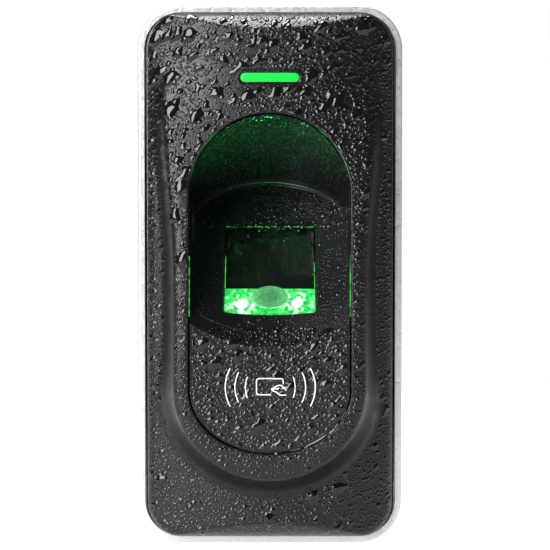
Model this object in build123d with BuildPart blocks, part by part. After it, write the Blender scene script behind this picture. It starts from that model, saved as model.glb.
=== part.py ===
from build123d import *

import os
from math import cos, radians, sin, tan

os.makedirs("parts", exist_ok=True)

# A slim fingerprint and card reader that hangs on a steel wall plate.
# Millimetres. The wall is the plane Y = 0 and the reader stands out from it towards -Y, with +Z up and +X to
# the right of someone who faces it. The origin is the centre of the wall plate's back face.
# A height is a distance in front of the wall, so what is at height h has Y = -h.

# Whole reader
reader_width = 50.0
reader_tall = 102.0
reader_depth = 37.0
corner_radius = 8.2

# Wall plate
plate_thick = 1.2
plate_width = 40.0
plate_tall = 84.0
wall_hole_radius = 2.1
wall_hole_x = 10.0
wall_hole_z = 36.0
wall_head_room = 3.9  # clearance round each wall screw's head
hook_x = 15.0
hook_tops = (24.0, -20.0)  # Z of the top of each pair of necks
hook_reach = 4.0  # how far a hook's head stands above its neck
lift_travel = 5.0
cable_width = 19.0
cable_low = -26.0
cable_high = -12.0

# Rear cover
rear_width = 48.8
rear_tall = 100.8
rear_radius = 7.6
rear_wall = 2.0
rear_back = 0.4
floor_low = 1.6
floor_high = 3.4
rear_rim = 19.4

# Silver bezel
bezel_low = 15.2
bezel_high = 22.2
flange_low = 19.5
flange_high = 20.9

# Front cover
face_width = 46.5
face_tall = 98.4
face_radius = 6.45
face_low = 21.0
ledge_reach = 0.4  # thin ledge round its foot, which fills the joint with the bezel
ledge_high = 21.6
lip_gap = 0.12
face_wall = 2.2
dome_high = 30.0
dome_radius = 52.0
bevel_rise = 1.1  # how much the end bevels climb for each millimetre inwards
bevel_top = 45.8  # Z at which they meet the crown of the dome
edge_round = 1.5

# Nose: the raised ring round the finger tray
nose_high = 36.9
nose_apex = -22.0
nose_radius = 260.0  # its long curve, seen from the side
nose_crest = 2.9  # how far its crest reaches outside the tray's opening
nose_foot = 5.9  # and how far its foot does, where it leaves the dome
nose_foot_high = 25.0

# Opening for the finger tray: a half circle on straight sides, with a half ellipse below
opening_half = 14.75
arch_centre = 15.4
foot_centre = -20.2
foot_rise = 11.7

# Finger tray
tray_gap = 0.25
tray_recess = 0.4
tray_wall = 1.8
tray_flange_low = 22.0
tray_flange_high = 23.6
tray_flange_reach = 3.4
tray_side = 1.6  # thickness of the hollow's side walls, behind the front cover
hollow_half = 14.6
roof_fall = 0.58  # how far the hollow's roof drops for each millimetre it goes in
roof_high = 31.5  # height at which its arch has the opening's own centre
trough_radius = 42.0

# Bed of the tray, which slopes back into the reader, and the sensor window in it
bed_angle = 40.0
bed_z = 1.4
bed_high = 24.7
window_width = 16.9
window_length = 21.3
window_sink = 0.3

# Status light
light_width = 10.9
light_tall = 1.75
light_z = 36.8
light_board_low = 21.5
light_board_high = 22.7
light_pegs = [(-7.8, light_z), (12.0, light_z)]

# Boards and fixings
board_low = 9.5
board_thick = 1.6
case_screw_x = 18.3
case_screw_z = 42.6
board_screw_x = 16.4
board_screw_z = (-34.0, -9.0)
tray_screws_at = [(-12.5, 31.0), (12.5, 31.0), (-7.0, -35.3), (7.0, -35.3)]
tamper_z = 27.0
tamper_reach = 1.5
lock_high = 4.6  # height of the security screw's axis
lock_tab_z = -49.0

board_high = board_low + board_thick
socket_high = board_high + 1.6
cable_middle = (cable_low + cable_high) / 2
pin_places = [(2.2 * step, cable_middle) for step in (-2.5, -1.5, -0.5, 0.5, 1.5, 2.5)]
guide_y = -7.3  # middle of the light guide, along the bed
led_places = [(-5.1, -8.2), (5.1, -8.2)]
camera_place = (0, -7.2)
lens_radius = 4.1
wall_holes = [(x, z) for x in (-wall_hole_x, wall_hole_x) for z in (-wall_hole_z, wall_hole_z)]
corners = [(x, z) for x in (-case_screw_x, case_screw_x) for z in (-case_screw_z, case_screw_z)]
standoffs = [(x, z) for x in (-board_screw_x, board_screw_x) for z in board_screw_z]

slope = radians(bed_angle)
bed = Plane(origin=(0, -bed_high, bed_z), x_dir=(1, 0, 0), z_dir=(0, -cos(slope), sin(slope)))


def facing(height):
    """The plane at this height that faces away from the wall."""
    return Plane.XZ.offset(height)


def raise_face(sketch, low, high, mode=Mode.ADD):
    """Adds to the part in hand, or cuts from it, a sketch's outline between two heights."""
    extrude(sketch, amount=high - low, mode=mode)


def rounded(width, tall, radius, low, high, mode=Mode.ADD, at=(0, 0)):
    """A block with rounded corners between two heights."""
    with BuildSketch(facing(low)) as outline:
        with Locations(at):
            RectangleRounded(width, tall, radius)
    raise_face(outline.sketch, low, high, mode)


def box(x_low, x_high, z_low, z_high, low, high, mode=Mode.ADD):
    """A plain block between two heights."""
    with BuildSketch(facing(low)) as outline:
        with Locations(((x_low + x_high) / 2, (z_low + z_high) / 2)):
            Rectangle(x_high - x_low, z_high - z_low)
    raise_face(outline.sketch, low, high, mode)


def posts(places, radius, low, high, mode=Mode.ADD):
    """Round posts, or holes, between two heights."""
    with BuildSketch(facing(low)) as outline:
        with Locations(*places):
            Circle(radius)
    raise_face(outline.sketch, low, high, mode)


def on_bed(width, length, low, high, mode=Mode.ADD, at=(0, 0), radius=0.5):
    """A rounded block that stands square to the finger bed, between two heights above it."""
    with BuildSketch(bed.offset(low)) as outline:
        with Locations(at):
            RectangleRounded(width, length, radius)
    extrude(outline.sketch, amount=high - low, mode=mode)


def bed_posts(places, radius, low, high, mode=Mode.ADD):
    """Round posts, or holes, that stand square to the finger bed."""
    with BuildSketch(bed.offset(low)) as outline:
        with Locations(*places):
            Circle(radius)
    extrude(outline.sketch, amount=high - low, mode=mode)


def cross_recess(places, low, depth, arm):
    """A cross-shaped driver recess cut into each screw's head."""
    with BuildSketch(facing(low)) as cross:
        with Locations(*places):
            Rectangle(2 * arm, 0.5)
            Rectangle(0.5, 2 * arm)
    raise_face(cross.sketch, low, low + depth, Mode.SUBTRACT)


def opening_line(grow=0.0):
    """The tray opening's outline, drawn this much larger all round."""
    half = opening_half + grow
    with BuildLine() as line:
        CenterArc((0, arch_centre), half, 0, 180)
        Line((-half, arch_centre), (-half, foot_centre))
        EllipticalCenterArc((0, foot_centre), half, foot_rise + grow, 180, arc_size=180)
        Line((half, foot_centre), (half, arch_centre))
    return line.edges()


def opening_block(grow, low, high, mode=Mode.ADD):
    """The tray opening's outline as a block between two heights."""
    with BuildSketch(facing(low)) as outline:
        make_face(opening_line(grow))
    raise_face(outline.sketch, low, high, mode)


def hollow_line(height, grow):
    """The finger hollow's outline at one height: an arch that drops as the hollow goes in, on a long slot."""
    centre = arch_centre + roof_fall * (height - roof_high)
    half = hollow_half + grow
    with BuildLine() as line:
        CenterArc((0, centre), half, 0, 180)
        Polyline((-half, centre), (-half, -34), (half, -34), (half, centre))
    return line.edges()


def finger_hollow(grow=0.0):
    """The space a finger goes into: an arched shaft, cut off behind by a trough along the sloping bed."""
    with BuildPart() as hollow:
        with BuildSketch(facing(4)):
            make_face(hollow_line(4, grow))
        with BuildSketch(facing(41)):
            make_face(hollow_line(41, grow))
        loft(ruled=True)
        across = Plane(bed.origin + bed.z_dir * trough_radius, x_dir=(1, 0, 0), z_dir=bed.y_dir)
        with BuildSketch(across):
            Circle(trough_radius + grow)
        extrude(amount=90, both=True, mode=Mode.INTERSECT)
    return hollow.part


def side_arc_block(radius, drop):
    """Everything behind the nose's long curve, as it is seen from the side."""
    pivot = (nose_radius - nose_high, nose_apex)
    with BuildPart() as under:
        with BuildSketch(Plane.YZ.offset(-30)):
            with Locations(pivot):
                Circle(radius - drop)
            with Locations((-20, 0)):
                Rectangle(40, 130, mode=Mode.INTERSECT)
        extrude(amount=60)
    return under.part


def face_block(inset=0.0, low=face_low, nose_only=False):
    """All that lies behind the front face, or behind a skin this far inside it."""
    with BuildPart() as face:
        if not nose_only:
            width = face_width - 2 * inset
            tall = face_tall - 2 * inset
            rounded(width, tall, face_radius - inset, low, 40)
            with BuildSketch(Plane.XY.offset(-60)) as dome:
                with Locations((0, dome_radius - dome_high)):
                    Circle(dome_radius - inset)
            extrude(dome.sketch, amount=120, mode=Mode.INTERSECT)
            for side in (1, -1):
                start = side * (bevel_top - inset)
                end = start + side * 12
                with BuildSketch(Plane.YZ.offset(-30)) as bevel:
                    with BuildLine():
                        Polyline(
                            (-dome_high, start),
                            (-dome_high + 12 * bevel_rise, end),
                            (-45, end),
                            (-45, start),
                            close=True,
                        )
                    make_face()
                extrude(bevel.sketch, amount=60, mode=Mode.SUBTRACT)
        with BuildSketch(facing(nose_foot_high)) as foot:
            make_face(opening_line(nose_foot - inset))
        with BuildSketch(facing(nose_high + 0.5)) as crest:
            make_face(opening_line(nose_crest - inset))
        nose = loft([foot.sketch.face(), crest.sketch.face()], ruled=True, mode=Mode.PRIVATE)
        add(nose & side_arc_block(nose_radius, inset))
        if not nose_only:
            opening_block(nose_foot - inset, low, nose_foot_high)
    return face.part


def write(part, label):
    """Names a finished piece and writes it as the node of that name."""
    part.label = label
    export_step(part, f"parts/{label}.step")
    print(label)


# Wall plate: sheet steel with four upturned hooks, and a tongue bent out at the foot for the security screw
with BuildPart() as back_plate:
    rounded(plate_width, plate_tall, 3.0, 0, plate_thick)
    box(-5, 5, lock_tab_z, -plate_tall / 2 + 1, 0, plate_thick)
    box(-5, 5, lock_tab_z, lock_tab_z + plate_thick, 0, 8)
    for top in hook_tops:
        for x in (-hook_x, hook_x):
            box(x - 3, x + 3, top - plate_thick, top, 0, floor_high + 0.2 + plate_thick)
            box(
                x - 3,
                x + 3,
                top - plate_thick,
                top + hook_reach,
                floor_high + 0.2,
                floor_high + 0.2 + plate_thick,
            )
    posts(wall_holes, wall_hole_radius, 0, plate_thick, Mode.SUBTRACT)
    rounded(
        cable_width,
        cable_high - cable_low,
        2.0,
        0,
        plate_thick,
        Mode.SUBTRACT,
        (0, cable_middle),
    )
    box(-2, 2, tamper_z - 2.2, tamper_z + lift_travel + 2.2, 0, plate_thick, Mode.SUBTRACT)
    with BuildSketch(Plane.XY.offset(lock_tab_z)) as thread:
        with Locations((0, -lock_high)):
            Circle(1.3)
    extrude(thread.sketch, amount=plate_thick, mode=Mode.SUBTRACT)
write(back_plate.part, "back_plate")

# Rear cover: an open box with slots for the plate's hooks, screw pillars, and a pocket for the wall cable
with BuildPart() as rear_cover:
    rounded(rear_width, rear_tall, rear_radius, rear_back, rear_rim)
    inner_width = rear_width - 2 * rear_wall
    inner_tall = rear_tall - 2 * rear_wall
    inner_radius = rear_radius - rear_wall
    rounded(inner_width, inner_tall, inner_radius, rear_back, floor_low, Mode.SUBTRACT)
    rounded(inner_width, inner_tall, inner_radius, floor_high, rear_rim, Mode.SUBTRACT)
    posts(corners, 3.2, floor_high, flange_high)
    posts(corners, 1.5, floor_low, flange_high, Mode.SUBTRACT)
    posts(corners, 2.8, floor_low, 4.2, Mode.SUBTRACT)
    posts(standoffs, 2.4, floor_high, board_low)
    posts(standoffs, 0.95, floor_high + 0.6, board_low, Mode.SUBTRACT)
    for top in hook_tops:
        for x in (-hook_x, hook_x):
            slot_low = top - plate_thick - lift_travel - 0.3
            box(x - 3.4, x + 3.4, slot_low, top + 0.1, floor_low, floor_high, Mode.SUBTRACT)
    box(
        -cable_width / 2 + 1,
        cable_width / 2 - 1,
        cable_middle - 3.4,
        cable_middle + 3.4,
        floor_low,
        floor_high,
        Mode.SUBTRACT,
    )
    # Room for the heads of the wall screws, over the whole lift
    for x, z in wall_holes:
        box(
            x - wall_head_room,
            x + wall_head_room,
            z - wall_head_room - lift_travel,
            z + wall_head_room,
            floor_low,
            floor_high,
            Mode.SUBTRACT,
        )
    # Hole and rests for the tamper switch
    posts([(0, tamper_z)], 1.5, floor_low, floor_high, Mode.SUBTRACT)
    box(-5.6, -3.6, tamper_z - 3, tamper_z + 3, floor_high, 7.4)
    box(3.6, 5.6, tamper_z - 3, tamper_z + 3, floor_high, 7.4)
    # Recess at the foot that takes the plate's tongue, with a thick wall above it for the security screw
    box(-7.5, 7.5, -48.6, -44.8, floor_high, 10.8)
    box(-5.6, 5.6, -52, -46.6, 0, 8.8, Mode.SUBTRACT)
    with BuildSketch(Plane.XY.offset(-50)) as lock_hole:
        with Locations((0, -lock_high)):
            Circle(1.6)
    extrude(lock_hole.sketch, amount=10, mode=Mode.SUBTRACT)
    # Groove in the rim for the seal
    with BuildSketch(facing(rear_rim - 0.7)) as groove:
        RectangleRounded(rear_width - 1.4, rear_tall - 1.4, rear_radius - 0.7)
        RectangleRounded(rear_width - 3.0, rear_tall - 3.0, rear_radius - 1.5, mode=Mode.SUBTRACT)
    extrude(groove.sketch, amount=1, mode=Mode.SUBTRACT)
write(rear_cover.part, "rear_cover")

# Rubber cord seal in the rear cover's rim
with BuildPart() as case_seal:
    with BuildSketch(facing(rear_rim - 0.7)):
        RectangleRounded(rear_width - 1.5, rear_tall - 1.5, rear_radius - 0.75)
        RectangleRounded(rear_width - 2.9, rear_tall - 2.9, rear_radius - 1.45, mode=Mode.SUBTRACT)
    extrude(amount=0.8)
write(case_seal.part, "case_seal")

# Silver bezel: a band round the seam, with an inner flange that is clamped between the two covers
with BuildPart() as bezel_frame:
    rounded(reader_width, reader_tall, corner_radius, bezel_low, bezel_high)
    top_edges = bezel_frame.faces().sort_by(Axis.Y)[0].edges()
    fillet(top_edges, 0.5)
    rounded(49.1, 101.1, 7.75, bezel_low, flange_low, Mode.SUBTRACT)
    rounded(44.4, 96.6, 5.4, flange_low, flange_high, Mode.SUBTRACT)
    lip_room = 2 * (ledge_reach + lip_gap)
    rounded(
        face_width + lip_room,
        face_tall + lip_room,
        face_radius + lip_room / 2,
        flange_high,
        bezel_high,
        Mode.SUBTRACT,
    )
    # Notches that let the corner pillars of the rear cover through
    posts(corners, 3.4, flange_low, flange_high, Mode.SUBTRACT)
write(bezel_frame.part, "bezel_frame")

# Front cover: a domed black shell with a raised ring round the tray's opening
with BuildPart() as front_cover:
    add(face_block())
    rounded(
        face_width + 2 * ledge_reach,
        face_tall + 2 * ledge_reach,
        face_radius + ledge_reach,
        face_low,
        ledge_high,
    )
    add(face_block(face_wall, face_low - 1), mode=Mode.SUBTRACT)
    opening_block(0, face_low - 1, 40, Mode.SUBTRACT)
    # Screw pillars at the corners, and bosses for the tray's screws
    posts(corners, 3.0, face_low, 24.2)
    posts(corners, 1.3, face_low, 23.4, Mode.SUBTRACT)
    posts(tray_screws_at, 2.0, tray_flange_high + 0.1, 27.4)
    posts(tray_screws_at, 0.95, tray_flange_high, 26.6, Mode.SUBTRACT)
    # Pegs that the status board stands on
    posts(light_pegs, 1.0, light_board_high, 28.0)
    # Slot for the status light
    with BuildSketch(facing(25)) as light_slot:
        with Locations((0, light_z)):
            SlotOverall(light_width + 0.1, light_tall + 0.1)
    extrude(light_slot.sketch, amount=10, mode=Mode.SUBTRACT)
write(front_cover.part, "front_cover")

# Finger tray: the black insert with the finger's hollow, its sloping bed, and the flat that cards are held to
with BuildPart() as finger_tray:
    opening_block(-tray_gap, tray_flange_low, 40)
    add(face_block(tray_recess, nose_only=True), mode=Mode.INTERSECT)
    opening_block(-tray_gap, tray_flange_low, nose_foot_high)
    opening_block(-tray_gap - tray_wall, tray_flange_low - 1, nose_foot_high, Mode.SUBTRACT)
    lobe_hollow = face_block(tray_recess + tray_wall, nose_only=True)
    with BuildSketch(facing(nose_foot_high - 0.5)) as lobe_outline:
        make_face(opening_line(-tray_gap - tray_wall))
    lobe_core = extrude(lobe_outline.sketch, amount=15, mode=Mode.PRIVATE)
    add(lobe_core & lobe_hollow, mode=Mode.SUBTRACT)
    # The hollow's own walls
    with BuildSketch(facing(6)) as shaft_outline:
        make_face(opening_line(tray_side))
    shaft_core = extrude(shaft_outline.sketch, amount=34, mode=Mode.PRIVATE)
    add(finger_hollow(tray_wall) & shaft_core & face_block(face_wall + 0.2, 5))
    add(finger_hollow(), mode=Mode.SUBTRACT)
    # Flange behind the front cover
    with BuildSketch(facing(tray_flange_low)) as flange:
        make_face(opening_line(tray_flange_reach))
        with Locations(*tray_screws_at):
            Circle(2.4)
        make_face(opening_line(-tray_gap - 0.2), mode=Mode.SUBTRACT)
    extrude(flange.sketch, amount=tray_flange_high - tray_flange_low)
    posts(tray_screws_at, 1.2, tray_flange_low, tray_flange_high, Mode.SUBTRACT)
    on_bed(window_width + 0.3, window_length + 0.3, -6, 5, Mode.SUBTRACT)
write(finger_tray.part, "finger_tray")

# Sensor prism: the glass a fingertip rests on, cut away below towards its upper end
with BuildPart() as sensor_prism:
    on_bed(window_width, window_length, -5.5, -window_sink, radius=0.6)
    with BuildSketch(Plane(bed.origin, x_dir=bed.y_dir, z_dir=bed.x_dir).offset(-10)) as cut:
        with BuildLine():
            Polyline((2.5, -5.6), (11, -2.6), (11, -5.6), close=True)
        make_face()
    extrude(cut.sketch, amount=20, mode=Mode.SUBTRACT)
write(sensor_prism.part, "sensor_prism")

# Soft frame between the bed and the sensor's housing
with BuildPart() as sensor_gasket:
    on_bed(19.5, 24.0, -2.7, -1.95)
    on_bed(window_width + 0.1, window_length + 0.1, -3, -1, Mode.SUBTRACT)
write(sensor_gasket.part, "sensor_gasket")

# Housing that holds the prism, its lights and its camera square to the bed
with BuildPart() as sensor_housing:
    on_bed(21.0, 25.6, -10.4, -2.75, radius=1.0)
    on_bed(window_width + 0.2, window_length + 0.2, -9.5, -2.7, Mode.SUBTRACT)
write(sensor_housing.part, "sensor_housing")

with BuildPart() as sensor_board:
    on_bed(16.6, 21.0, -9.45, -8.2)
write(sensor_board.part, "sensor_board")

# Clear block under the window's lower end that spreads the lights' green glow
with BuildPart() as light_guide:
    on_bed(16.4, 6.2, -6.9, -5.6, at=(0, guide_y))
    bed_posts(led_places, 1.2, -7, -6.3, Mode.SUBTRACT)
    bed_posts([camera_place], 2.6, -7, -5, Mode.SUBTRACT)
write(light_guide.part, "light_guide")

with BuildPart() as sensor_leds:
    bed_posts(led_places, 1.0, -8.2, -7.0)
    bed_posts(led_places, 0.7, -7.0, -6.5)
write(sensor_leds.part, "sensor_leds")

# Camera that looks up through the prism: a barrel with the lens in it, over the image sensor
with BuildPart() as lens_barrel:
    bed_posts([camera_place], 2.4, -8.2, -5.9)
    bed_posts([camera_place], 1.9, -8.2, -6.1, Mode.SUBTRACT)
    bed_posts([camera_place], 1.5, -7, -5, Mode.SUBTRACT)
write(lens_barrel.part, "lens_barrel")

with BuildPart() as sensor_lens:
    bed_posts([camera_place], 1.85, -7.0, -6.1)
    with Locations(bed.origin + bed.y_dir * camera_place[1] + bed.z_dir * (-6.16 - lens_radius)):
        Sphere(lens_radius, mode=Mode.INTERSECT)
write(sensor_lens.part, "sensor_lens")

with BuildPart() as image_sensor:
    on_bed(2.4, 2.4, -8.2, -7.7, at=camera_place, radius=0.1)
write(image_sensor.part, "image_sensor")

# Flat cables
with BuildPart() as sensor_ribbon:
    box(-4, 4, -12.0, -11.8, socket_high, 21.8)
write(sensor_ribbon.part, "sensor_ribbon")

with BuildPart() as status_ribbon:
    box(17.5, 17.7, -19.5, -14.5, socket_high, 19)
    box(17.5, 17.7, -14.5, 31, 14, 19)
    box(17.5, 17.7, 31, 36.5, 14, light_board_low)
write(status_ribbon.part, "status_ribbon")

with BuildPart() as ribbon_sockets:
    box(-5, 5, -13, -11, board_high, socket_high)
    box(16.4, 18.8, -20, -14, board_high, socket_high)
write(ribbon_sockets.part, "ribbon_sockets")

# Card antenna behind the flat of the tray
with BuildPart() as antenna_board:
    rounded(23.0, 15.5, 7.0, 32.6, 33.6, at=(0, -20.5))
write(antenna_board.part, "antenna_board")

with BuildPart() as antenna_coil:
    with BuildSketch(facing(31.9)) as turns:
        with Locations((0, -20.5)):
            RectangleRounded(21.5, 14.0, 6.0)
            RectangleRounded(16.5, 9.0, 4.0, mode=Mode.SUBTRACT)
    extrude(turns.sketch, amount=0.68)
write(antenna_coil.part, "antenna_coil")

with BuildPart() as antenna_lead:
    posts([(9.2, -24.0)], 0.6, 14.7, 31.88)
write(antenna_lead.part, "antenna_lead")

# Main board and what stands on it
with BuildPart() as main_board:
    rounded(38.0, 31.0, 1.5, board_low, board_high, at=(0, -21.5))
    posts(standoffs, 1.1, board_low, board_high, Mode.SUBTRACT)
    posts(pin_places, 0.4, board_low, board_high, Mode.SUBTRACT)
write(main_board.part, "main_board")

with BuildPart() as processor:
    box(-13, -5, -22, -14, board_high, board_high + 1.2)
write(processor.part, "processor")

with BuildPart() as memory_chip:
    box(-5, 1, -33, -29, board_high, board_high + 1.0)
write(memory_chip.part, "memory_chip")

with BuildPart() as radio_chip:
    box(4, 9, -34.5, -29.5, board_high, board_high + 0.9)
write(radio_chip.part, "radio_chip")

with BuildPart() as crystal:
    rounded(5.0, 3.2, 0.8, board_high, board_high + 1.3, at=(-1.0, -17.5))
write(crystal.part, "crystal")

with BuildPart() as capacitors:
    posts([(-15.6, -26.5), (-10.2, -29.0)], 2.4, board_high, board_high + 5.8)
    chamfer(capacitors.faces().sort_by(Axis.Y)[:2].edges(), 0.3)
write(capacitors.part, "capacitors")

with BuildPart() as buzzer:
    posts([(9.2, -22.0)], 4.6, board_high, board_high + 3.5)
    posts([(9.2, -22.0)], 0.9, board_high + 2.5, board_high + 3.5, Mode.SUBTRACT)
write(buzzer.part, "buzzer")

# Header for the wall cable, which faces the wall through the rear cover's pocket
with BuildPart() as connector_header:
    box(-8.2, 8.2, cable_middle - 4, cable_middle + 4, 4.4, board_low)
    box(-7.3, 7.3, cable_middle - 2.8, cable_middle + 2.8, 4.4, 8.2, Mode.SUBTRACT)
    posts(pin_places, 0.4, 8.2, board_low, Mode.SUBTRACT)
write(connector_header.part, "connector_header")

with BuildPart() as connector_pins:
    posts(pin_places, 0.38, 5.2, board_high)
write(connector_pins.part, "connector_pins")

with BuildPart() as cable_seal:
    box(-10, 10, cable_middle - 5, cable_middle + 5, floor_high + 0.05, 4.35)
    box(-8.6, 8.6, cable_middle - 3.5, cable_middle + 3.5, floor_high, 4.35, Mode.SUBTRACT)
write(cable_seal.part, "cable_seal")

# Status light: three small lights on a board, under a clear bar that shows through the slot
with BuildPart() as status_board:
    box(-9.6, 18.6, 34.2, 39.2, light_board_low, light_board_high)
write(status_board.part, "status_board")

with BuildPart() as status_leds:
    for x in (-3.6, 0, 3.6):
        box(x - 0.8, x + 0.8, light_z - 0.6, light_z + 0.6, light_board_high, light_board_high + 0.8)
write(status_leds.part, "status_leds")

with BuildPart() as status_light:
    with BuildSketch(facing(24.0)) as bar:
        with Locations((0, light_z)):
            SlotOverall(light_width, light_tall)
    extrude(bar.sketch, amount=dome_high + 0.1 - 24.0)
    with BuildSketch(facing(25.4)) as bar_flange:
        with Locations((0, light_z)):
            SlotOverall(light_width + 2.0, light_tall + 2.0)
    extrude(bar_flange.sketch, amount=1.6)
write(status_light.part, "status_light")

# Tamper switch, whose plunger feels the wall through the rear cover and the wall plate
with BuildPart() as tamper_switch:
    box(-5.5, 5.5, tamper_z - 2.8, tamper_z + 2.8, 7.45, 9)
    box(-3.5, 3.5, tamper_z - 2.8, tamper_z + 2.8, 9, 12)
    posts([(0, tamper_z)], 0.8, 7.45, 10.2, Mode.SUBTRACT)
write(tamper_switch.part, "tamper_switch")

with BuildPart() as tamper_plunger:
    posts([(0, tamper_z)], 1.2, 0, 5.8)
    posts([(0, tamper_z)], 2.3, 5.0, 5.8)
    posts([(0, tamper_z)], 0.6, 5.8, 9.0)
write(tamper_plunger.part, "tamper_plunger")

with BuildPart() as tamper_spring:
    with BuildLine():
        Helix(pitch=0.5, height=1.2, radius=1.4, center=(0, -6.05, tamper_z), direction=(0, -1, 0))
    with BuildSketch(Plane(origin=tamper_spring.pending_edges[0] @ 0, z_dir=tamper_spring.pending_edges[0] % 0)):
        Circle(0.18)
    sweep()
write(tamper_spring.part, "tamper_spring")

# Screws
with BuildPart() as case_screws:
    posts(corners, 2.6, 2.2, 4.2)
    posts(corners, 1.2, 4.2, 23.0)
    cross_recess(corners, 2.2, 1.0, 1.6)
write(case_screws.part, "case_screws")

with BuildPart() as board_screws:
    posts(standoffs, 1.9, board_high, board_high + 1.4)
    posts(standoffs, 0.9, floor_high + 0.9, board_high)
    cross_recess(standoffs, board_high + 0.7, 0.7, 1.1)
write(board_screws.part, "board_screws")

with BuildPart() as tray_screws:
    posts(tray_screws_at, 1.9, tray_flange_low - 1.4, tray_flange_low)
    posts(tray_screws_at, 0.9, tray_flange_low, 26.2)
    cross_recess(tray_screws_at, tray_flange_low - 1.4, 0.7, 1.1)
write(tray_screws.part, "tray_screws")

# Security screw, driven up from below through the plate's tab into the rear cover
with BuildPart() as security_screw:
    with BuildSketch(Plane.XY.offset(lock_tab_z)) as shank:
        with Locations((0, -lock_high)):
            Circle(1.22)
    extrude(shank.sketch, amount=5.8)
    chamfer(security_screw.faces().sort_by(Axis.Z)[-1].edges(), 0.4)
    with BuildSketch(Plane.XY.offset(lock_tab_z - 1.3)) as lock_head:
        with Locations((0, -lock_high)):
            Circle(2.3)
            RegularPolygon(0.9, 6, mode=Mode.SUBTRACT)
    extrude(lock_head.sketch, amount=0.7)
    with BuildSketch(Plane.XY.offset(lock_tab_z - 0.6)) as lock_neck:
        with Locations((0, -lock_high)):
            Circle(2.3)
    extrude(lock_neck.sketch, amount=0.6)
write(security_screw.part, "security_screw")
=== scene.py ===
import math
import bmesh
import bpy
import numpy as np
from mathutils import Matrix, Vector


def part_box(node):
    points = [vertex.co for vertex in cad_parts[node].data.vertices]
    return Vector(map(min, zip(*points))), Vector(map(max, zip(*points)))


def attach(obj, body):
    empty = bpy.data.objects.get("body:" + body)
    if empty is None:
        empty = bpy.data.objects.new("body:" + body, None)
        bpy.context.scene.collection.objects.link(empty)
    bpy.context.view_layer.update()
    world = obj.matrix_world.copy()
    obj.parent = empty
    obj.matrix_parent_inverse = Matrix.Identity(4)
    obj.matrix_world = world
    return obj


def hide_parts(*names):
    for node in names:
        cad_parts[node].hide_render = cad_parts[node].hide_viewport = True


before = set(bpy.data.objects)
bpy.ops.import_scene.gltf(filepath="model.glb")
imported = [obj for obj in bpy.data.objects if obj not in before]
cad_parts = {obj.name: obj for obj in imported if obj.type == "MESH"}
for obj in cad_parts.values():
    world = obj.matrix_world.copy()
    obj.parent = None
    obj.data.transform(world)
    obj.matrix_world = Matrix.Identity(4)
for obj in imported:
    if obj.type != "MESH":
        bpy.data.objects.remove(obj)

# Slim fingerprint and card reader on its wall plate, wet with rain.
# Worked out in millimetres and put into the meshes in metres. A height is a distance in front of the wall,
# so what is at height h has Y = -h.

for startupItem in ("Cube", "Light", "Camera"):
    if startupItem in bpy.data.objects:
        bpy.data.objects.remove(bpy.data.objects[startupItem])
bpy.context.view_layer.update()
mm = 0.001


# small helpers

def smoothStep(low, high, value):
    # eases from 0 to 1 as the value goes from low to high
    t = np.clip((value - low) / (high - low), 0, 1)
    return t * t * (3 - 2 * t)


def softAbove(value, softness):
    # the value where it is positive and 0 elsewhere, with a rounded corner between
    return 0.5 * (value + np.sqrt(value * value + softness * softness))


def boxOf(node):
    # a node's x, height and z limits in millimetres
    low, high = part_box(node)
    return (low.x / mm, high.x / mm), (-high.y / mm, -low.y / mm), (low.z / mm, high.z / mm)


def gridFaces(rows, columns, closeRows=False, closeColumns=False):
    # four corners of each cell of a grid of points, row by row
    rowIndex = np.arange(rows if closeRows else rows - 1)
    columnIndex = np.arange(columns if closeColumns else columns - 1)
    r, c = np.meshgrid(rowIndex, columnIndex, indexing="ij")
    nextR = (r + 1) % rows
    nextC = (c + 1) % columns
    corners = [r * columns + c, r * columns + nextC, nextR * columns + nextC, nextR * columns + c]
    return np.stack(corners, -1).reshape(-1, 4)


def meshPiece(name, points, faces, material, body="reader", slot=None, flip=False, weld=0):
    # puts points (millimetres, x / height / z) and four-cornered faces into a new object that rides on a body;
    # points nearer to each other than the weld distance become one
    points = np.asarray(points, float).reshape(-1, 3)
    faces = np.asarray(faces, int)
    if flip:
        faces = faces[:, ::-1]
    places = np.stack([points[:, 0], -points[:, 1], points[:, 2]], 1) * mm
    mesh = bpy.data.meshes.new(name)
    mesh.vertices.add(len(places))
    mesh.vertices.foreach_set("co", places.ravel())
    mesh.loops.add(faces.size)
    mesh.loops.foreach_set("vertex_index", faces.ravel())
    mesh.polygons.add(len(faces))
    mesh.polygons.foreach_set("loop_start", np.arange(len(faces)) * faces.shape[1])
    mesh.polygons.foreach_set("loop_total", np.full(len(faces), faces.shape[1]))
    mesh.polygons.foreach_set("use_smooth", np.full(len(faces), True))
    mesh.update(calc_edges=True)
    mesh.validate()
    if weld:
        joined = bmesh.new()
        joined.from_mesh(mesh)
        bmesh.ops.remove_doubles(joined, verts=joined.verts, dist=weld * mm)
        joined.to_mesh(mesh)
        joined.free()
    mesh.materials.append(material)
    piece = bpy.data.objects.new(name, mesh)
    bpy.context.scene.collection.objects.link(piece)
    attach(piece, body)
    return piece


def valueNoise(x, z, size, seed):
    # smooth noise from -1 to 1: random values on a lattice of this size, eased between the lattice points
    rng = np.random.default_rng(seed)
    table = rng.uniform(-1, 1, (257, 257))
    gx, gz = x / size + 100, z / size + 100
    ix, iz = np.floor(gx).astype(int), np.floor(gz).astype(int)
    fx, fz = gx - ix, gz - iz
    fx, fz = fx * fx * (3 - 2 * fx), fz * fz * (3 - 2 * fz)
    ix, iz = ix % 256, iz % 256
    low = table[ix, iz] * (1 - fx) + table[ix + 1, iz] * fx
    high = table[ix, iz + 1] * (1 - fx) + table[ix + 1, iz + 1] * fx
    return low * (1 - fz) + high * fz


# node materials

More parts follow.
